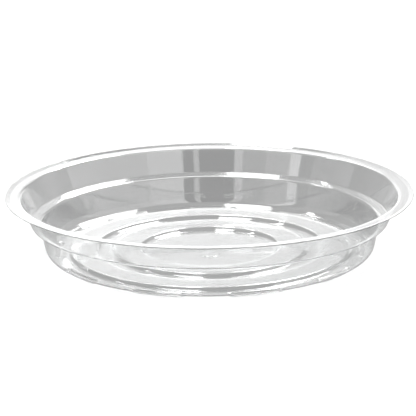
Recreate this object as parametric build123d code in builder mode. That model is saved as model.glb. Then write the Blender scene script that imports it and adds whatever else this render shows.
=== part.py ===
"""Plant saucer: one sheet of clear plastic, thermoformed into a round dish.

The Z axis is the dish's axis and Z = 0 is the surface that its feet stand on. The front is -Y.
Lengths are in millimetres and angles in degrees.
"""

import os
from math import atan2, cos, degrees

from build123d import *

# Whole dish
rim_diameter = 254.0
overall_height = 39.0
sheet_thickness = 0.5

# Rim, from its edge inwards
lip_width = 2.9
lip_rise = 0.8
lip_bend = 1.0
flange_width = 5.9
flange_bend = 2.0

# Walls, from the flange down
upper_wall_height = 15.6
upper_wall_run = 6.5
ledge_width = 5.7
ledge_drop = 1.6
ledge_bend = 1.5
lower_wall_run = 3.8
corner_bend = 7.0

# Floor, from the wall inwards
channel_width = 13.2
ring_height = 2.4
ring_bend = 1.0
cove_bend = 4.5
riser_run = 2.0
outer_ring_width = 15.2
groove_width = 8.2
inner_ring_width = 16.0

# Feet, pressed out of the channel
foot_count = 10
foot_height = 1.0
foot_width = 6.0
foot_length = 35.0
foot_inset = 3.6
foot_bend = 0.3

# Plain round moulding mark, raised in the centre disc in front of the axis
mark_diameter = 13.0
mark_height = 0.4
mark_offset = 12.0

# Levels of the sheet's outer face
floor_level = foot_height
ring_level = floor_level + ring_height
lip_level = overall_height - sheet_thickness * cos(atan2(lip_rise, lip_width))
flange_level = lip_level - lip_rise
ledge_top = flange_level - upper_wall_height
ledge_bottom = ledge_top - ledge_drop

# Radii at which the sheet's outer face turns, from the rim inwards
rim_radius = rim_diameter / 2
lip_inner = rim_radius - lip_width
wall_top = lip_inner - flange_width
ledge_outer = wall_top - upper_wall_run
ledge_inner = ledge_outer - ledge_width
base_corner = ledge_inner - lower_wall_run
channel_inner = base_corner - channel_width
outer_ring_outer = channel_inner - riser_run
outer_ring_inner = outer_ring_outer - outer_ring_width
groove_outer = outer_ring_inner - riser_run
groove_inner = groove_outer - groove_width
inner_ring_outer = groove_inner - riser_run
inner_ring_inner = inner_ring_outer - inner_ring_width
disc_radius = inner_ring_inner - riser_run

# Ends and turns of the outer face: radius from the axis, level, bend radius
turns = [
    (0, floor_level, 0),
    (disc_radius, floor_level, cove_bend),
    (inner_ring_inner, ring_level, ring_bend),
    (inner_ring_outer, ring_level, ring_bend),
    (groove_inner, floor_level, cove_bend),
    (groove_outer, floor_level, cove_bend),
    (outer_ring_inner, ring_level, ring_bend),
    (outer_ring_outer, ring_level, ring_bend),
    (channel_inner, floor_level, cove_bend),
    (base_corner, floor_level, corner_bend),
    (ledge_inner, ledge_bottom, ledge_bend),
    (ledge_outer, ledge_top, ledge_bend),
    (wall_top, flange_level, flange_bend),
    (lip_inner, flange_level, lip_bend),
    (rim_radius, lip_level, 0),
]

# Feet stand in a ring in the channel, with a gap between two of them at the front
foot_radius = channel_inner + foot_inset + foot_width / 2
foot_turn = degrees((foot_length - foot_width) / foot_radius)
first_foot = -90 + 180 / foot_count
foot_top = floor_level + corner_bend


def foot_plan(width):
    """Sketch of all the feet seen from above, as arcs of the given width with round ends."""
    with BuildSketch() as plan:
        with PolarLocations(0, foot_count, first_foot):
            SlotArc(CenterArc((0, 0), foot_radius, -foot_turn / 2, foot_turn), width)
    return plan.sketch


def face_turns(lift):
    """Points and bend radii of the sheet's face that lies the given lift above its outer face."""
    points = [Vector(radius, level) for radius, level, bend in turns]
    runs = [(end - start).normalized() for start, end in zip(points, points[1:])]
    normals = [Vector(-run.Y, run.X) for run in runs]
    lifted = [points[0] + normals[0] * lift]
    bends = []
    for turn, point, before, after in zip(turns[1:], points[1:], normals, normals[1:]):
        lifted.append(point + (before + after) * (lift / (1 + before.dot(after))))
        upward = before.cross(after).Z > 0
        bends.append(turn[2] - lift if upward else turn[2] + lift)
    lifted.append(points[-1] + normals[-1] * lift)
    return lifted, bends


def mark_plan(diameter):
    """Sketch of the moulding mark seen from above."""
    with BuildSketch() as plan:
        with Locations((0, -mark_offset)):
            Circle(diameter / 2)
    return plan.sketch


# Half sections of the sheet's two faces, from the axis to the lip's edge
outer_points, outer_bends = face_turns(0)
inner_points, inner_bends = face_turns(sheet_thickness)
above_brim = overall_height + lip_rise

# Everything inside the sheet: the dish's space down to the hollows in its feet
with BuildPart() as space:
    with BuildSketch(Plane.XY.offset(sheet_thickness)):
        add(foot_plan(foot_width - 2 * sheet_thickness))
    extrude(amount=foot_top)
    fillet(space.edges().group_by(Axis.Z)[0], foot_bend)
    with BuildSketch(Plane.XZ):
        with BuildLine():
            FilletPolyline(*inner_points, radius=inner_bends)
            Polyline(inner_points[-1], (inner_points[-1].X, above_brim), (0, above_brim), inner_points[0])
        make_face()
    revolve(axis=Axis.Z)
    with BuildSketch(Plane.XY.offset(floor_level)):
        add(mark_plan(mark_diameter))
    extrude(amount=sheet_thickness + mark_height, mode=Mode.SUBTRACT)

with BuildPart() as saucer:
    # Feet, rounded underneath and reaching up into the dish
    with BuildSketch():
        add(foot_plan(foot_width))
    extrude(amount=foot_top)
    fillet(saucer.edges().group_by(Axis.Z)[0], foot_bend + sheet_thickness)

    # Dish, solid up to its brim and hollow under the mark, less the space inside the sheet
    with BuildSketch(Plane.XZ):
        with BuildLine():
            FilletPolyline(*outer_points, radius=outer_bends)
            Polyline(outer_points[-1], inner_points[-1], (0, overall_height), outer_points[0])
        make_face()
    revolve(axis=Axis.Z)
    with BuildSketch():
        add(mark_plan(mark_diameter - 2 * sheet_thickness))
    extrude(amount=floor_level + mark_height, mode=Mode.SUBTRACT)
    add(space.part, mode=Mode.SUBTRACT)

saucer.part.label = "saucer"

os.makedirs("parts", exist_ok=True)
export_step(saucer.part, "parts/saucer.step")

print("rim radius", rim_radius, "base corner", round(base_corner, 2), "disc radius", round(disc_radius, 2))
print("volume", round(saucer.part.volume, 1), "solids", len(saucer.part.solids()))
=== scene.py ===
"""Looks of a clear plastic plant saucer: the formed sheet, its finish, and a plain studio round it.

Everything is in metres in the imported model's own frame: the dish's axis is Z, Z = 0 is the surface
that its feet stand on, and the front is -Y.
"""

from math import acos, atan2, ceil, cos, pi, radians, tan

import bpy
from bpy.props import FloatProperty, FloatVectorProperty, IntProperty, PointerProperty
from mathutils import Matrix, Vector


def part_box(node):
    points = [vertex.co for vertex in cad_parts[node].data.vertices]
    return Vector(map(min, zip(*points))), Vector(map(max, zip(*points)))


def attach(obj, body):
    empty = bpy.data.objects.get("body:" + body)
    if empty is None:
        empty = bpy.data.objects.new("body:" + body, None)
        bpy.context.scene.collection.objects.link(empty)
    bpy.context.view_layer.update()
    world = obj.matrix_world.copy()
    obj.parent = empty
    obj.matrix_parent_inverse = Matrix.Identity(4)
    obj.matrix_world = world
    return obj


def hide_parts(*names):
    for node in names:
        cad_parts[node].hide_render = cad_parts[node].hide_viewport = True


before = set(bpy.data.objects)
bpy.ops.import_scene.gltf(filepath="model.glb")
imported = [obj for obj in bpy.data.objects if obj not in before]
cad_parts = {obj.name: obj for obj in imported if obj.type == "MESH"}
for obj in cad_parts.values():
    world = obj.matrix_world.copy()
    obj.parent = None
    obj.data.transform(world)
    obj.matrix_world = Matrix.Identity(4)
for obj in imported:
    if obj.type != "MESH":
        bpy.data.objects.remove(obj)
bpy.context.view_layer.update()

bl_info = {
    "name": "Clear plant saucer",
    "version": (1, 0, 0),
    "blender": (4, 5, 0),
    "location": "3D View > Sidebar > Saucer",
    "description": "Builds a thermoformed clear plastic plant saucer and a plain studio round it",
    "category": "Object",
}

NODE = "saucer"
BODY = "root"
MM = 0.001
PICTURE_PIXELS = 416

BOX_LOW, BOX_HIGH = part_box(NODE)
RIM_DIAMETER = BOX_HIGH.x - BOX_LOW.x
OVERALL_HEIGHT = BOX_HIGH.z - BOX_LOW.z

# The clear plastic mirrors, and shows through itself, a room that the camera doesn't see. These are
# the windows of its front wall: where each starts and ends, in degrees from the front towards the
# left, and how bright it is
FRONT_WINDOWS = (
    (-165, -104, 1.6),
    (-104, -44, 2.5),
    (-44, -19.5, 3.1),
    (-12, -8.3, 2.3),
    (15.9, 22, 2.7),
    (22, 38, 1.6),
    (38, 55, 2.1),
    (55, 62.5, 4.0),
    (62.5, 72, 1.2),
    (72, 104, 1.7),
    (104, 165, 1.1),
)

# How soft the windows' edges are
WINDOW_SOFTNESS = radians(0.7)

# The lit backdrop on the rear wall and the dark gap over it: where each starts and ends by height,
# as the upward part of a direction, and how soft those edges are
BACKDROP_RISE = (0.17, 0.36)
GAP_RISE = (0.56, 0.68)
RISE_SOFTNESS = 0.03

# Where one part of the room gives way to the next, as the upward, sideways or backward part of a
# direction
UPPER_WALL_RISE = (0.58, 0.64)
CEILING_RISE = (0.78, 0.86)
GAP_SIDES = (0.13, 0.08)
REAR_CORNERS = (0.35, 0.55)
REAR_WALL = (0.5, 0.8)

# Levels of the noise between which the sheet turns hazy, the scuffs' width as a share of the cells
# that they run between, and how many cells lie across a hazy patch
HAZE_RANGE = (0.5, 0.72)
SCUFF_WIDTH = 0.012
SCUFFS_PER_PATCH = 5

# Where the soft lamp hangs
KEY_LAMP_STAND = (-0.8, -0.6, 2.0)

# A straight run shorter than this many guard strips gets none
GUARDS_IN_SHORT_RUN = 4

# Place of the channel's inner edge in the list of the sheet's turns
CHANNEL_INNER_TURN = 6

# Lit panels over the dish: each one's corners, as metres to the right and to the back
PANELS = {
    "wedge_panel": (
        (-0.043, 1.2), (-0.085, 1.2), (-0.155, 0.835), (-0.22, 0.51), (-0.436, -0.04),
        (-0.093, -0.17), (-0.06, 0.43), (-0.052, 0.76),
    ),
    "left_panel": (
        (0.04, 1.2), (0.11, 0.95), (0.25, 0.55), (0.52, 0.06), (1.03, 0.99),
        (0.5, 1.12), (0.24, 1.45), (0.09, 1.65),
    ),
    "slit_panel": (
        (-0.128, 1.3), (-0.37, 0.7), (-0.74, 0.25), (-0.8, 0.36), (-0.41, 0.75), (-0.144, 1.36),
    ),
}


def length(name, description, default):
    """A size in metres that a user can change."""
    return FloatProperty(
        name=name, description=description, default=default, min=0, unit="LENGTH", precision=5
    )


def share(name, description, default, most=1.0):
    """A plain number from zero up."""
    return FloatProperty(name=name, description=description, default=default, min=0, max=most)


def angle(name, description, default):
    """An angle in radians, given here in degrees."""
    return FloatProperty(
        name=name, description=description, default=radians(default), subtype="ANGLE"
    )


def count(name, description, default, least):
    """A whole number."""
    return IntProperty(name=name, description=description, default=default, min=least)


def tone(name, description, default):
    """A linear colour."""
    return FloatVectorProperty(
        name=name, description=description, default=default, size=3, min=0, max=1, subtype="COLOR"
    )


class SaucerSizes(bpy.types.PropertyGroup):
    """Sizes of the formed sheet."""

    rim_diameter: length("Rim diameter", "Across the lip's outer edge", RIM_DIAMETER)
    overall_height: length("Overall height", "From the feet to the lip's edge", OVERALL_HEIGHT)
    sheet_thickness: length("Sheet thickness", "Gauge of the plastic sheet", 0.5 * MM)
    lip_width: length("Lip width", "Sloping lip at the rim's edge", 2.9 * MM)
    lip_rise: length("Lip rise", "How far the lip's edge stands over the flange", 0.8 * MM)
    lip_bend: length("Lip bend", "Bend radius between flange and lip", 1.0 * MM)
    flange_width: length("Flange width", "Flat part of the rim", 5.9 * MM)
    flange_bend: length("Flange bend", "Bend radius between wall and flange", 2.0 * MM)
    upper_wall_height: length("Upper wall height", "From the ledge to the flange", 15.6 * MM)
    upper_wall_run: length("Upper wall run", "How far the upper wall leans out", 6.5 * MM)
    ledge_width: length("Ledge width", "Step in the wall, measured outwards", 5.7 * MM)
    ledge_drop: length("Ledge drop", "How far the ledge slopes down inwards", 1.6 * MM)
    ledge_bend: length("Ledge bend", "Bend radius at both sides of the ledge", 1.5 * MM)
    lower_wall_run: length("Lower wall run", "How far the lower wall leans out", 3.8 * MM)
    corner_bend: length("Corner bend", "Bend radius between wall and floor", 7.0 * MM)
    channel_width: length("Channel width", "Flat channel inside the wall", 13.2 * MM)
    ring_height: length("Ring height", "How far the rings stand over the floor", 2.4 * MM)
    ring_bend: length("Ring bend", "Bend radius at the rings' upper edges", 1.0 * MM)
    cove_bend: length("Cove bend", "Bend radius where the rings' sides meet the floor", 4.5 * MM)
    riser_run: length("Riser run", "How far the rings' sides lean", 2.0 * MM)
    outer_ring_width: length("Outer ring width", "Top of the outer raised ring", 15.2 * MM)
    groove_width: length("Groove width", "Groove between the rings", 8.2 * MM)
    inner_ring_width: length("Inner ring width", "Top of the inner raised ring", 16.0 * MM)
    foot_count: count("Feet", "Feet pressed out of the channel", 10, 3)
    foot_height: length("Foot height", "How far the feet stand below the floor", 1.0 * MM)
    foot_width: length("Foot width", "Across a foot at the channel", 6.0 * MM)
    foot_length: length("Foot length", "Along a foot, round ends included", 35.0 * MM)
    foot_inset: length("Foot inset", "From the channel's inner edge to a foot", 3.6 * MM)
    foot_draft: length("Foot draft", "Width of a foot's sloping side", 1.8 * MM)
    mark_diameter: length("Mark diameter", "Plain round pad in the centre disc", 13.0 * MM)
    mark_height: length("Mark height", "How far the pad stands over the disc", 0.4 * MM)
    mark_offset: length("Mark offset", "From the dish's axis forwards to the pad", 12.0 * MM)
    mark_draft: length("Mark draft", "Width of the pad's sloping side", 0.6 * MM)


class SheetFineness(bpy.types.PropertyGroup):
    """How finely the sheet is divided."""

    segments: count("Segments", "Divisions round the dish", 320, 60)
    gathering: share("Gathering", "How much closer the divisions lie at the feet's ends", 0.6)
    bend_step: angle("Bend step", "Turn of one division in a bend", 12)
    fine_step: length("Fine step", "Divisions of the section where the feet are pressed", 0.6 * MM)
    mark_step: length("Mark step", "Divisions of the section where the mark is pressed", 0.5 * MM)
    guard: length("Guard", "Narrow strip that keeps a straight run flat next to a bend", 0.2 * MM)
    weld: length("Weld distance", "Points nearer than this are one", 0.005 * MM)
    sharp: angle("Sharp edge", "Edges that turn more than this stay sharp", 50)


class SaucerFinish(bpy.types.PropertyGroup):
    """Look of the clear plastic."""

    tint: tone("Tint", "Colour of the clear sheet", (0.955, 0.96, 0.96))
    haze_tint: tone("Haze tint", "Colour of the sheet where it is hazy", (0.93, 0.935, 0.935))
    index: share("Refraction", "Index of refraction", 1.54, 3.0)
    clear_roughness: share("Clear roughness", "Roughness of the glossy sheet", 0.035)
    haze_roughness: share("Haze roughness", "Roughness where the sheet is hazy", 0.14)
    haze_size: length("Haze size", "Width of a hazy patch", 22 * MM)
    scuffs: share("Scuffs", "How strongly fine scuffs show", 0.5)
    edge_roughness: share("Edge roughness", "Roughness of the cut edge", 0.7)
    edge_width: length("Edge width", "Width of the frosted line at the cut edge", 0.3 * MM)
    foot_roughness: share("Foot roughness", "Roughness underneath the feet", 0.4)
    wave_size: length("Wave size", "Width of the sheet's slow waves", 26 * MM)
    wave_height: length("Wave height", "Depth of the sheet's slow waves", 0.03 * MM)
    ripple_size: length("Ripple size", "Width of the fine ripples", 4 * MM)
    ripple_height: length("Ripple height", "Depth of the fine ripples", 0.004 * MM)


class StudioLook(bpy.types.PropertyGroup):
    """Floor, grey card, lamps and the room that the plastic mirrors."""

    floor_colour: tone("Floor colour", "Colour of the floor", (0.95, 0.95, 0.95))
    floor_side: length("Floor side", "Side of the square floor", 8.0)
    floor_gap: length("Floor gap", "Air between the feet and the floor", 0.3 * MM)
    floor_shade: share("Floor shade", "Share of the floor's look that the lamps make", 0.2)
    card_radius: length("Card radius", "Radius of the grey card under the dish", 400 * MM)
    card_gap: length("Card gap", "Air between the feet and the card", 0.15 * MM)
    card_tone: share("Card tone", "Brightness of the card's middle, seen through the plastic", 0.33)
    card_gloss: share("Card gloss", "Brightness of the card's middle in reflections", 0.6)
    card_fade: length("Card fade", "Where the card starts to turn white", 250 * MM)
    card_segments: count("Card segments", "Divisions round the card", 96, 12)
    sky_fill: share("Sky fill", "Light from all round on what isn't mirrored", 0.8, 4.0)
    front_glow: share("Front glow", "Brightness of the front wall between its windows", 0.45, 4.0)
    backdrop_glow: share("Backdrop glow", "Brightness of the rear wall's backdrop", 1.75, 4.0)
    backdrop_slope: share("Backdrop slope", "How fast it brightens towards the left", 3.0, 4.0)
    upper_glow: share("Upper glow", "Brightness of the rear wall's upper part", 1.2, 4.0)
    side_glow: share("Side glow", "Brightness of the room's rear corners", 0.9, 4.0)
    wall_glow: share("Wall glow", "Brightness of the rear wall round its backdrop", 2.0, 4.0)
    ceiling_glow: share("Ceiling glow", "Brightness of the room's ceiling", 1.3, 4.0)
    gap_glow: share("Gap glow", "Brightness of the dark gap over the backdrop", 0.5, 4.0)
    panel_glow: share("Panel glow", "Brightness of the lit panels", 9, 100)
    panel_height: length("Panel height", "Height of the lit panels over the floor", 1.0)
    key_size: length("Key lamp size", "Side of the soft lamp", 1.2)
    key_power: share("Key lamp power", "Power of the soft lamp in watts", 12, 1000)


class CameraPlace(bpy.types.PropertyGroup):
    """Where the camera stands and how it looks."""

    lens: share("Lens", "Focal length in millimetres", 186.47, 1000)
    distance: length("Distance", "From the dish's axis to the camera, along the floor", 1.3)
    height: length("Height", "Above the floor", 0.385)
    turn: angle("Turn", "Round the axis from the front", 1.5)
    pitch: angle("Pitch", "Below the horizon", 15.37)
    roll: angle("Roll", "Round the view's axis", -0.678)
    light_bounces: count("Light bounces", "How often light may turn inside the clear sheet", 32, 1)
    across: FloatProperty(
        name="Across", description="Picture's centre in pixels from the view's axis", default=-1.56
    )
    up: FloatProperty(
        name="Up", description="Picture's centre in pixels over the view's axis", default=0.5
    )


def sheet_turns(sizes):
    """Turns of the sheet's outer face from the rim inwards, as (point, bend, if it is fine)."""
    floor = sizes.foot_height
    ring = floor + sizes.ring_height
    slope = atan2(sizes.lip_rise, sizes.lip_width)
    lip = sizes.overall_height - sizes.sheet_thickness * cos(slope)
    flange = lip - sizes.lip_rise
    ledge_top = flange - sizes.upper_wall_height
    ledge_bottom = ledge_top - sizes.ledge_drop
    steps = [
        (0, lip, 0, False),
        (sizes.lip_width, flange, sizes.lip_bend, False),
        (sizes.flange_width, flange, sizes.flange_bend, False),
        (sizes.upper_wall_run, ledge_top, sizes.ledge_bend, False),
        (sizes.ledge_width, ledge_bottom, sizes.ledge_bend, False),
        (sizes.lower_wall_run, floor, sizes.corner_bend, True),
        (sizes.channel_width, floor, sizes.cove_bend, False),
        (sizes.riser_run, ring, sizes.ring_bend, False),
        (sizes.outer_ring_width, ring, sizes.ring_bend, False),
        (sizes.riser_run, floor, sizes.cove_bend, False),
        (sizes.groove_width, floor, sizes.cove_bend, False),
        (sizes.riser_run, ring, sizes.ring_bend, False),
        (sizes.inner_ring_width, ring, sizes.ring_bend, False),
        (sizes.riser_run, floor, sizes.cove_bend, False),
    ]
    radius = sizes.rim_diameter / 2
    turns = []
    for run, level, bend, fine in steps:
        radius -= run
        turns.append((Vector((radius, level)), bend, fine))
    return turns


def bend_points(before, corner, after, bend, step):
    """Points along the arc that rounds a corner between two straight runs."""
    u = (corner - before).normalized()
    v = (after - corner).normalized()
    turn = acos(u.dot(v))
    side = 1 if u.cross(v) > 0 else -1
    start = corner - u * bend * tan(turn / 2)
    centre = start + Vector((-u.y, u.x)) * bend * side
    parts = max(2, ceil(turn / step))
    spoke = start - centre
    return [centre + Matrix.Rotation(side * turn * i / parts, 2) @ spoke for i in range(parts + 1)]


def divided(start, end, step):
    """Points between two ends, no further apart than the step, without the ends."""
    parts = ceil((end - start).length / step)
    return [start.lerp(end, i / parts) for i in range(1, parts)]


def guarded(start, end, guard):
    """Points just inside both ends of a straight run, so that its shading stays flat."""
    run = end - start
    if run.length < GUARDS_IN_SHORT_RUN * guard:
        return []
    strip = run.normalized() * guard
    return [start + strip, end - strip]


def section_points(sizes, fineness):
    """Half section of the sheet's outer face from the axis to the rim, as (radius, level)."""
    turns = sheet_turns(sizes)
    centre = Vector((0, sizes.foot_height))
    corners = [turn[0] for turn in turns] + [centre]
    points = [corners[0]]
    fine_run = False
    for before, (corner, bend, fine), after in zip(corners, turns[1:], corners[2:]):
        step = fineness.fine_step / bend if fine else fineness.bend_step
        arc = bend_points(before, corner, after, bend, step)
        if fine_run:
            points += divided(points[-1], arc[0], fineness.fine_step)
        else:
            points += guarded(points[-1], arc[0], fineness.guard)
        points += arc
        fine_run = fine
    mark_half = sizes.mark_diameter / 2 + fineness.mark_step
    mark_far = centre + Vector((sizes.mark_offset + mark_half, 0))
    mark_near = centre + Vector((sizes.mark_offset - mark_half, 0))
    points.append(points[-1] + Vector((-fineness.guard, 0)))
    points += [mark_far] + divided(mark_far, mark_near, fineness.mark_step) + [mark_near, centre]
    return points[::-1]


def foot_radius(sizes):
    """Radius of the circle that the feet's centre lines lie on."""
    channel_inner = sheet_turns(sizes)[CHANNEL_INNER_TURN][0].x
    return channel_inner + sizes.foot_inset + sizes.foot_width / 2


def fill_inputs(tree, node, inputs):
    """Sets or links a node's inputs, which are (name or number, value) pairs."""
    for key, value in inputs:
        socket = node.inputs[key]
        if isinstance(value, bpy.types.NodeSocket):
            tree.links.new(value, socket)
        else:
            socket.default_value = value


def add_node(tree, kind, inputs=(), **settings):
    """Adds a node with its settings and its inputs."""
    node = tree.nodes.new(kind)
    for name, value in settings.items():
        setattr(node, name, value)
    fill_inputs(tree, node, inputs)
    return node


def math(tree, operation, *values):
    """Output of a math node on sockets or numbers."""
    return add_node(tree, "ShaderNodeMath", enumerate(values), operation=operation).outputs[0]


def smooth_step(tree, value, start, end):
    """From 0 at start to 1 at end, smoothly."""
    inputs = [("Value", value), ("From Min", start), ("From Max", end)]
    return add_node(tree, "ShaderNodeMapRange", inputs, interpolation_type="SMOOTHSTEP").outputs[0]


def pulse(tree, value, start, end, soft):
    """1 between start and end and 0 outside, with soft edges."""
    rising = smooth_step(tree, value, start - soft, start + soft)
    falling = smooth_step(tree, value, end - soft, end + soft)
    return math(tree, "SUBTRACT", rising, falling)


def blend(tree, factor, first, second):
    """From the first number to the second as the factor goes from 0 to 1."""
    inputs = [(0, factor), (2, first), (3, second)]
    return add_node(tree, "ShaderNodeMix", inputs, data_type="FLOAT").outputs[0]


def tree_socket(tree, name, kind, direction="INPUT"):
    """A named socket on a tree's interface."""
    return tree.interface.new_socket(name=name, in_out=direction, socket_type=kind)


def sheet_tree():
    """Geometry Nodes that turn the half section round the axis and press the feet and the mark."""
    tree = bpy.data.node_groups.new("Formed sheet", "GeometryNodeTree")
    tree_socket(tree, "Section", "NodeSocketGeometry")
    for name in ("Segments", "Foot Count"):
        tree_socket(tree, name, "NodeSocketInt")
    for name in (
        "Gathering",
        "Foot Radius",
        "Foot Width",
        "Foot Length",
        "Foot Draft",
        "Mark Offset",
        "Mark Diameter",
        "Mark Height",
        "Mark Draft",
        "Weld Distance",
    ):
        tree_socket(tree, name, "NodeSocketFloat")
    tree_socket(tree, "Material", "NodeSocketMaterial")
    tree_socket(tree, "Sheet", "NodeSocketGeometry", "OUTPUT")
    given = add_node(tree, "NodeGroupInput").outputs

    # Grid of one column for each segment and one row for each point of the section
    size = add_node(
        tree, "GeometryNodeAttributeDomainSize", [("Geometry", given["Section"])], component="MESH"
    )
    rows = size.outputs["Point Count"]
    columns = math(tree, "ADD", given["Segments"], 1)
    grid = add_node(tree, "GeometryNodeMeshGrid", [("Vertices X", columns), ("Vertices Y", rows)])
    index = add_node(tree, "GeometryNodeInputIndex").outputs[0]
    row = math(tree, "MODULO", index, rows)
    column = math(tree, "FLOOR", math(tree, "DIVIDE", math(tree, "ADD", index, 0.5), rows))

    # Radius and level come from the section, and the angle gathers at the feet's ends
    point = add_node(
        tree,
        "GeometryNodeSampleIndex",
        [("Geometry", given["Section"]), ("Index", row)],
        data_type="FLOAT_VECTOR",
        domain="POINT",
    )
    position = add_node(tree, "GeometryNodeInputPosition").outputs[0]
    tree.links.new(position, point.inputs["Value"])
    section = add_node(tree, "ShaderNodeSeparateXYZ", [(0, point.outputs[0])]).outputs
    radius, level = section[0], section[2]
    even = math(tree, "MULTIPLY", math(tree, "DIVIDE", column, given["Segments"]), 2 * pi)
    ends = math(tree, "MULTIPLY", given["Foot Count"], 2)
    swing = math(tree, "SINE", math(tree, "MULTIPLY", even, ends))
    gather = math(tree, "MULTIPLY", swing, math(tree, "DIVIDE", given["Gathering"], ends))
    turned = math(tree, "ADD", even, gather)
    x = math(tree, "MULTIPLY", radius, math(tree, "COSINE", turned))
    y = math(tree, "MULTIPLY", radius, math(tree, "SINE", turned))

    # Feet: how far a point lies from the nearest foot's centre line, an arc
    half_pitch = math(tree, "DIVIDE", pi, given["Foot Count"])
    off_foot = math(tree, "WRAP", turned, half_pitch, math(tree, "MULTIPLY", half_pitch, -1))
    straight = math(tree, "SUBTRACT", given["Foot Length"], given["Foot Width"])
    half_arc = math(tree, "DIVIDE", math(tree, "DIVIDE", straight, 2), given["Foot Radius"])
    past_end = math(
        tree, "MAXIMUM", math(tree, "SUBTRACT", math(tree, "ABSOLUTE", off_foot), half_arc), 0
    )
    squares = math(
        tree, "ADD", math(tree, "POWER", radius, 2), math(tree, "POWER", given["Foot Radius"], 2)
    )
    cross = math(tree, "MULTIPLY", math(tree, "MULTIPLY", radius, given["Foot Radius"]), 2)
    cross = math(tree, "MULTIPLY", cross, math(tree, "COSINE", past_end))
    off_line = math(tree, "SQRT", math(tree, "MAXIMUM", math(tree, "SUBTRACT", squares, cross), 0))
    foot_edge = math(tree, "DIVIDE", given["Foot Width"], 2)
    foot = smooth_step(
        tree, off_line, foot_edge, math(tree, "SUBTRACT", foot_edge, given["Foot Draft"])
    )
    level = math(tree, "MULTIPLY", level, math(tree, "SUBTRACT", 1, foot))

    # Mark: a pad whose distance is measured on the floor
    forward = math(tree, "ADD", y, given["Mark Offset"])
    forward = math(tree, "MULTIPLY", forward, forward)
    off_mark = math(tree, "SQRT", math(tree, "ADD", math(tree, "POWER", x, 2), forward))
    mark_edge = math(tree, "DIVIDE", given["Mark Diameter"], 2)
    mark = smooth_step(
        tree, off_mark, mark_edge, math(tree, "SUBTRACT", mark_edge, given["Mark Draft"])
    )
    level = math(tree, "ADD", level, math(tree, "MULTIPLY", mark, given["Mark Height"]))

    place = add_node(tree, "ShaderNodeCombineXYZ", [(0, x), (1, y), (2, level)]).outputs[0]
    placed = add_node(
        tree, "GeometryNodeSetPosition", [("Geometry", grid.outputs["Mesh"]), ("Position", place)]
    )
    welded = add_node(
        tree,
        "GeometryNodeMergeByDistance",
        [("Geometry", placed.outputs[0]), ("Distance", given["Weld Distance"])],
    )
    smooth = add_node(tree, "GeometryNodeSetShadeSmooth", [("Geometry", welded.outputs[0])])
    real = add_node(tree, "GeometryNodeRealizeInstances", [("Geometry", smooth.outputs[0])])
    dressed = add_node(
        tree,
        "GeometryNodeSetMaterial",
        [("Geometry", real.outputs[0]), ("Material", given["Material"])],
    )
    add_node(tree, "NodeGroupOutput", [(0, dressed.outputs[0])])
    return tree


def set_inputs(modifier, values):
    """Sets a modifier's inputs by the sockets' identifiers."""
    for item in modifier.node_group.interface.items_tree:
        if item.item_type == "SOCKET" and item.in_out == "INPUT" and item.name in values:
            modifier[item.identifier] = values[item.name]


def linked_object(name, data):
    """A new object in the scene."""
    made = bpy.data.objects.new(name, data)
    bpy.context.scene.collection.objects.link(made)
    return made


def evaluated_mesh(source, name):
    """A plain mesh object with what the source's modifiers make, in place of the source."""
    source.data.update()
    graph = bpy.context.evaluated_depsgraph_get()
    mesh = bpy.data.meshes.new_from_object(source.evaluated_get(graph))
    mesh.name = name
    bpy.data.objects.remove(source)
    return linked_object(name, mesh)


def wave_group():
    """Shader group: height of the slow waves and fine ripples that the forming leaves."""
    tree = bpy.data.node_groups.new("Forming waves", "ShaderNodeTree")
    tree_socket(tree, "Position", "NodeSocketVector")
    for name in ("Wave Size", "Wave Height", "Ripple Size", "Ripple Height"):
        tree_socket(tree, name, "NodeSocketFloat")
    tree_socket(tree, "Height", "NodeSocketFloat", "OUTPUT")
    given = add_node(tree, "NodeGroupInput").outputs
    total = 0
    for name in ("Wave", "Ripple"):
        scale = math(tree, "DIVIDE", 1, given[name + " Size"])
        noise = add_node(
            tree,
            "ShaderNodeTexNoise",
            [("Vector", given["Position"]), ("Scale", scale), ("Detail", 1.0)],
        )
        height = math(tree, "MULTIPLY", noise.outputs[0], given[name + " Height"])
        total = math(tree, "ADD", height, total)
    add_node(tree, "NodeGroupOutput", [(0, total)])
    return tree


def haze_group():
    """Shader group: where the sheet is hazy or scuffed, from 0 to 1."""
    tree = bpy.data.node_groups.new("Haze and scuffs", "ShaderNodeTree")
    tree_socket(tree, "Position", "NodeSocketVector")
    tree_socket(tree, "Haze Size", "NodeSocketFloat")
    tree_socket(tree, "Scuffs", "NodeSocketFloat")
    tree_socket(tree, "Haze", "NodeSocketFloat", "OUTPUT")
    given = add_node(tree, "NodeGroupInput").outputs
    cloud = add_node(
        tree,
        "ShaderNodeTexNoise",
        [
            ("Vector", given["Position"]),
            ("Scale", math(tree, "DIVIDE", 1, given["Haze Size"])),
            ("Detail", 4.0),
            ("Roughness", 0.6),
        ],
    )
    patch = smooth_step(tree, cloud.outputs[0], *HAZE_RANGE)
    cell = add_node(
        tree,
        "ShaderNodeTexVoronoi",
        [
            ("Vector", given["Position"]),
            ("Scale", math(tree, "DIVIDE", SCUFFS_PER_PATCH, given["Haze Size"])),
        ],
        feature="DISTANCE_TO_EDGE",
    )
    line = smooth_step(tree, cell.outputs[0], SCUFF_WIDTH, 0.0)
    scuff = math(tree, "MULTIPLY", line, given["Scuffs"])
    add_node(tree, "NodeGroupOutput", [(0, math(tree, "MAXIMUM", patch, scuff))])
    return tree


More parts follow.
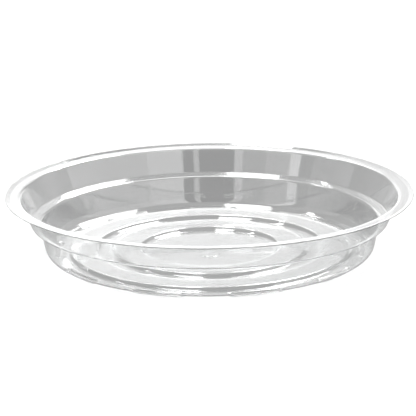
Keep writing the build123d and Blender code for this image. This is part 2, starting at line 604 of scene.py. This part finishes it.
def frosting_group():
    """Shader group: how rough the cut edge and the undersides of the feet are."""
    tree = bpy.data.node_groups.new("Frosting", "ShaderNodeTree")
    tree_socket(tree, "Position", "NodeSocketVector")
    for name in ("Edge Radius", "Edge Width", "Edge Frost", "Foot Level", "Foot Frost"):
        tree_socket(tree, name, "NodeSocketFloat")
    tree_socket(tree, "Frosting", "NodeSocketFloat", "OUTPUT")
    given = add_node(tree, "NodeGroupInput").outputs
    x, y, z = add_node(tree, "ShaderNodeSeparateXYZ", [(0, given["Position"])]).outputs
    across, along = math(tree, "MULTIPLY", x, x), math(tree, "MULTIPLY", y, y)
    radius = math(tree, "SQRT", math(tree, "ADD", across, along))
    inwards = math(tree, "SUBTRACT", given["Edge Radius"], radius)
    near_edge = smooth_step(tree, inwards, given["Edge Width"], 0.0)
    edge = math(tree, "MULTIPLY", near_edge, given["Edge Frost"])
    low = smooth_step(tree, z, given["Foot Level"], 0.0)
    foot = math(tree, "MULTIPLY", low, given["Foot Frost"])
    add_node(tree, "NodeGroupOutput", [(0, math(tree, "MAXIMUM", edge, foot))])
    return tree


def group_node(tree, group, inputs):
    """Places a node group in a tree."""
    node = tree.nodes.new("ShaderNodeGroup")
    node.node_tree = group
    fill_inputs(tree, node, inputs)
    return node.outputs[0]


def blank_material(name):
    """A material with nodes and no shader yet."""
    material = bpy.data.materials.new(name)
    material.use_nodes = True
    material.node_tree.nodes.clear()
    return material, material.node_tree


def colour(tone_value):
    """Linear colour with alpha."""
    return (*tone_value, 1.0)


def clear_plastic(finish, sizes):
    """Clear, glossy, slightly hazy plastic sheet."""
    material, tree = blank_material("clear_plastic")
    place = add_node(tree, "ShaderNodeTexCoord").outputs["Object"]
    waves = group_node(
        tree,
        wave_group(),
        [
            ("Position", place),
            ("Wave Size", finish.wave_size),
            ("Wave Height", finish.wave_height),
            ("Ripple Size", finish.ripple_size),
            ("Ripple Height", finish.ripple_height),
        ],
    )
    bump = add_node(
        tree, "ShaderNodeBump", [("Height", waves), ("Distance", 1.0), ("Strength", 1.0)]
    )
    haze = group_node(
        tree,
        haze_group(),
        [("Position", place), ("Haze Size", finish.haze_size), ("Scuffs", finish.scuffs)],
    )
    tint = add_node(
        tree,
        "ShaderNodeMix",
        [(0, haze), (6, colour(finish.tint)), (7, colour(finish.haze_tint))],
        data_type="RGBA",
    )
    rough = add_node(
        tree,
        "ShaderNodeMapRange",
        [("Value", haze), ("To Min", finish.clear_roughness), ("To Max", finish.haze_roughness)],
    )
    frosting = group_node(
        tree,
        frosting_group(),
        [
            ("Position", place),
            ("Edge Radius", sizes.rim_diameter / 2),
            ("Edge Width", finish.edge_width),
            ("Edge Frost", finish.edge_roughness),
            ("Foot Level", sizes.foot_height),
            ("Foot Frost", finish.foot_roughness),
        ],
    )
    roughness = math(tree, "MAXIMUM", rough.outputs[0], frosting)
    shader = add_node(
        tree,
        "ShaderNodeBsdfPrincipled",
        [
            ("Base Color", tint.outputs[2]),
            ("Roughness", roughness),
            ("Normal", bump.outputs[0]),
            ("IOR", finish.index),
            ("Transmission Weight", 1.0),
            ("Metallic", 0.0),
        ],
    )
    add_node(tree, "ShaderNodeOutputMaterial", [("Surface", shader.outputs[0])])
    return material


def floor_material(look):
    """Pale floor that keeps a soft shadow and looks white directly, in gloss and through glass."""
    material, tree = blank_material("pale_floor")
    rays = add_node(tree, "ShaderNodeLightPath").outputs
    seen = math(tree, "MAXIMUM", rays["Is Camera Ray"], rays["Is Glossy Ray"])
    seen = math(tree, "MAXIMUM", seen, rays["Is Transmission Ray"])
    matt = add_node(
        tree, "ShaderNodeBsdfDiffuse", [("Color", colour(look.floor_colour))]
    ).outputs[0]
    white = add_node(tree, "ShaderNodeEmission", [("Strength", 1.0)]).outputs[0]
    whiteness = math(tree, "MULTIPLY", seen, 1 - look.floor_shade)
    mixed = add_node(tree, "ShaderNodeMixShader", [(0, whiteness), (1, matt), (2, white)])
    add_node(tree, "ShaderNodeOutputMaterial", [("Surface", mixed.outputs[0])])
    return material


def card_material(look):
    """Glow of the card: grey in the middle, paler in reflections, and white at its edge."""
    material, tree = blank_material("grey_card")
    place = add_node(tree, "ShaderNodeTexCoord").outputs["Object"]
    off_axis = add_node(tree, "ShaderNodeVectorMath", [(0, place)], operation="LENGTH")
    fade = smooth_step(tree, off_axis.outputs["Value"], look.card_fade, look.card_radius)
    through = add_node(tree, "ShaderNodeLightPath").outputs["Is Transmission Ray"]
    middle = blend(tree, through, look.card_gloss, look.card_tone)
    inputs = [("Value", fade), ("To Min", middle), ("To Max", 1.0)]
    shade = add_node(tree, "ShaderNodeMapRange", inputs)
    glow = add_node(tree, "ShaderNodeEmission", [("Strength", shade.outputs[0])])
    add_node(tree, "ShaderNodeOutputMaterial", [("Surface", glow.outputs[0])])
    return material


def glowing_panel(name, corners, look):
    """A lit panel that hangs level over the dish, hidden from the camera and without a shadow."""
    material, tree = blank_material(name)
    glow = add_node(tree, "ShaderNodeEmission", [("Strength", look.panel_glow)])
    add_node(tree, "ShaderNodeOutputMaterial", [("Surface", glow.outputs[0])])
    mesh = bpy.data.meshes.new(name)
    mesh.from_pydata([(x, y, look.panel_height) for x, y in corners], [], [range(len(corners))])
    mesh.materials.append(material)
    panel = linked_object(name, mesh)
    panel.visible_camera = False
    panel.visible_shadow = False


def key_lamp(look):
    """A large soft lamp over the left front, which the plastic doesn't mirror."""
    data = bpy.data.lights.new("key_lamp", "AREA")
    data.size = look.key_size
    data.energy = look.key_power
    lamp = linked_object("key_lamp", data)
    stand = Vector(KEY_LAMP_STAND)
    lamp.matrix_world = Matrix.LocRotScale(stand, (-stand).to_track_quat("-Z", "Y"), None)
    lamp.visible_camera = False
    lamp.visible_glossy = False
    lamp.visible_transmission = False


def room_glow(tree, look, x, y, rise):
    """Brightness of the room that the plastic mirrors and shows through itself, by direction."""
    turn = math(tree, "ARCTAN2", math(tree, "MULTIPLY", x, -1), math(tree, "MULTIPLY", y, -1))
    front = look.front_glow
    for start, end, glow in FRONT_WINDOWS:
        pane = pulse(tree, turn, radians(start), radians(end), WINDOW_SOFTNESS)
        front = math(tree, "ADD", front, math(tree, "MULTIPLY", pane, glow - look.front_glow))
    off_middle = math(tree, "ABSOLUTE", x)
    near_middle = smooth_step(tree, off_middle, *GAP_SIDES)
    gap = math(tree, "MULTIPLY", pulse(tree, rise, *GAP_RISE, RISE_SOFTNESS), near_middle)
    upper = smooth_step(tree, rise, *UPPER_WALL_RISE)
    rear = blend(tree, upper, look.wall_glow, look.upper_glow)
    rear = blend(tree, gap, rear, look.gap_glow)
    dimming = math(tree, "MULTIPLY", x, look.backdrop_slope)
    backdrop = math(tree, "SUBTRACT", look.backdrop_glow, dimming)
    rear = blend(tree, pulse(tree, rise, *BACKDROP_RISE, RISE_SOFTNESS), rear, backdrop)
    rear = blend(tree, smooth_step(tree, off_middle, *REAR_CORNERS), rear, look.side_glow)
    walls = blend(tree, smooth_step(tree, y, *REAR_WALL), front, rear)
    return blend(tree, smooth_step(tree, rise, *CEILING_RISE), walls, look.ceiling_glow)


class SAUCER_OT_sheet(bpy.types.Operator):
    """Build the formed sheet of clear plastic"""

    bl_idname = "saucer.sheet"
    bl_label = "Formed sheet"

    def execute(self, context):
        sizes = context.scene.saucer_sizes
        fineness = context.scene.saucer_fineness
        points = section_points(sizes, fineness)
        mesh = bpy.data.meshes.new("half_section")
        runs = [(i, i + 1) for i in range(len(points) - 1)]
        mesh.from_pydata([(p.x, 0, p.y) for p in points], runs, [])
        section = linked_object("half_section", mesh)
        modifier = section.modifiers.new("Formed sheet", "NODES")
        modifier.node_group = sheet_tree()
        values = {
            "Segments": fineness.segments,
            "Foot Count": sizes.foot_count,
            "Gathering": fineness.gathering,
            "Foot Radius": foot_radius(sizes),
            "Foot Width": sizes.foot_width,
            "Foot Length": sizes.foot_length,
            "Foot Draft": sizes.foot_draft,
            "Mark Offset": sizes.mark_offset,
            "Mark Diameter": sizes.mark_diameter,
            "Mark Height": sizes.mark_height,
            "Mark Draft": sizes.mark_draft,
            "Weld Distance": fineness.weld,
            "Material": clear_plastic(context.scene.saucer_finish, sizes),
        }
        set_inputs(modifier, values)
        face = evaluated_mesh(section, "sheet_face")
        wall = face.modifiers.new("Sheet thickness", "SOLIDIFY")
        wall.thickness = sizes.sheet_thickness
        wall.offset = -1
        wall.use_even_offset = True
        wall.use_quality_normals = True
        sheet = evaluated_mesh(face, "formed_sheet")
        sheet.data.set_sharp_from_angle(angle=fineness.sharp)
        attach(sheet, BODY)
        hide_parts(NODE)
        return {"FINISHED"}


class SAUCER_OT_studio(bpy.types.Operator):
    """Build the floor, the grey card, the panels, the lamp and the world"""

    bl_idname = "saucer.studio"
    bl_label = "Studio"

    def execute(self, context):
        look = context.scene.saucer_studio
        half = look.floor_side / 2
        corners = [(-half, -half), (half, -half), (half, half), (-half, half)]
        mesh = bpy.data.meshes.new("floor")
        mesh.from_pydata([(x, y, -look.floor_gap) for x, y in corners], [], [(0, 1, 2, 3)])
        mesh.materials.append(floor_material(look))
        floor = linked_object("floor", mesh)

        mesh = bpy.data.meshes.new("grey_card")
        sides = look.card_segments
        spoke = Vector((look.card_radius, 0))
        edge = [Matrix.Rotation(2 * pi * i / sides, 2) @ spoke for i in range(sides)]
        mesh.from_pydata([(p.x, p.y, -look.card_gap) for p in edge], [], [range(sides)])
        mesh.materials.append(card_material(look))
        card = linked_object("grey_card", mesh)
        card.visible_camera = False
        card.visible_diffuse = False
        card.visible_shadow = False

        for name, corners in PANELS.items():
            glowing_panel(name, corners, look)
        key_lamp(look)

        world = bpy.data.worlds.new("studio")
        world.use_nodes = True
        context.scene.world = world
        tree = world.node_tree
        tree.nodes.clear()
        rays = add_node(tree, "ShaderNodeLightPath").outputs
        direction = add_node(tree, "ShaderNodeTexCoord").outputs["Generated"]
        x, y, rise = add_node(tree, "ShaderNodeSeparateXYZ", [(0, direction)]).outputs
        sky = room_glow(tree, look, x, y, rise)
        mirrored = math(tree, "MAXIMUM", rays["Is Glossy Ray"], rays["Is Transmission Ray"])
        strength = blend(tree, mirrored, look.sky_fill, sky)
        strength = blend(tree, rays["Is Camera Ray"], strength, 1.0)
        inputs = [("Color", colour((1, 1, 1))), ("Strength", strength)]
        background = add_node(tree, "ShaderNodeBackground", inputs)
        add_node(tree, "ShaderNodeOutputWorld", [("Surface", background.outputs[0])])
        return {"FINISHED"}


class SAUCER_OT_camera(bpy.types.Operator):
    """Set up the camera at the picture's viewing angle, the view transform and light's bounces"""

    bl_idname = "saucer.camera"
    bl_label = "Camera"

    def execute(self, context):
        place = context.scene.saucer_camera
        data = bpy.data.cameras.new("camera")
        data.lens = place.lens
        data.shift_x = place.across / PICTURE_PIXELS
        data.shift_y = place.up / PICTURE_PIXELS
        camera = linked_object("camera", data)
        turn = (
            Matrix.Rotation(place.turn, 3, "Z")
            @ Matrix.Rotation(pi / 2 - place.pitch, 3, "X")
            @ Matrix.Rotation(place.roll, 3, "Z")
        )
        stand = Matrix.Rotation(place.turn, 3, "Z") @ Vector((0, -place.distance, place.height))
        camera.matrix_world = Matrix.LocRotScale(stand, turn, None)
        context.scene.camera = camera
        context.scene.view_settings.view_transform = "Standard"
        paths = context.scene.cycles
        paths.max_bounces = place.light_bounces
        paths.glossy_bounces = place.light_bounces
        paths.transmission_bounces = place.light_bounces
        paths.transparent_max_bounces = place.light_bounces
        return {"FINISHED"}


class SAUCER_PT_sidebar(bpy.types.Panel):
    """Sizes, finish and steps of the saucer"""

    bl_label = "Clear plant saucer"
    bl_idname = "SAUCER_PT_sidebar"
    bl_space_type = "VIEW_3D"
    bl_region_type = "UI"
    bl_category = "Saucer"

    def draw(self, context):
        for settings, steps in GROUPS.items():
            box = self.layout.box()
            group = getattr(context.scene, settings)
            for name in group.__annotations__:
                box.prop(group, name)
            for step in steps:
                box.operator(step.bl_idname)


SETTINGS = {
    "saucer_sizes": SaucerSizes,
    "saucer_fineness": SheetFineness,
    "saucer_finish": SaucerFinish,
    "saucer_studio": StudioLook,
    "saucer_camera": CameraPlace,
}
GROUPS = {
    "saucer_sizes": [SAUCER_OT_sheet],
    "saucer_fineness": [],
    "saucer_finish": [],
    "saucer_studio": [SAUCER_OT_studio],
    "saucer_camera": [SAUCER_OT_camera],
}
CLASSES = [
    *SETTINGS.values(),
    SAUCER_OT_sheet,
    SAUCER_OT_studio,
    SAUCER_OT_camera,
    SAUCER_PT_sidebar,
]


def register():
    """Registers the classes and hangs the settings on the scene."""
    for entry in CLASSES:
        bpy.utils.register_class(entry)
    for name, kind in SETTINGS.items():
        setattr(bpy.types.Scene, name, PointerProperty(type=kind))


def unregister():
    """Takes the settings and the classes away again."""
    for name in SETTINGS:
        delattr(bpy.types.Scene, name)
    for entry in reversed(CLASSES):
        bpy.utils.unregister_class(entry)


def main():
    """Builds the saucer and its studio."""
    register()
    bpy.ops.saucer.sheet()
    bpy.ops.saucer.studio()
    bpy.ops.saucer.camera()


if __name__ == "__main__":
    main()
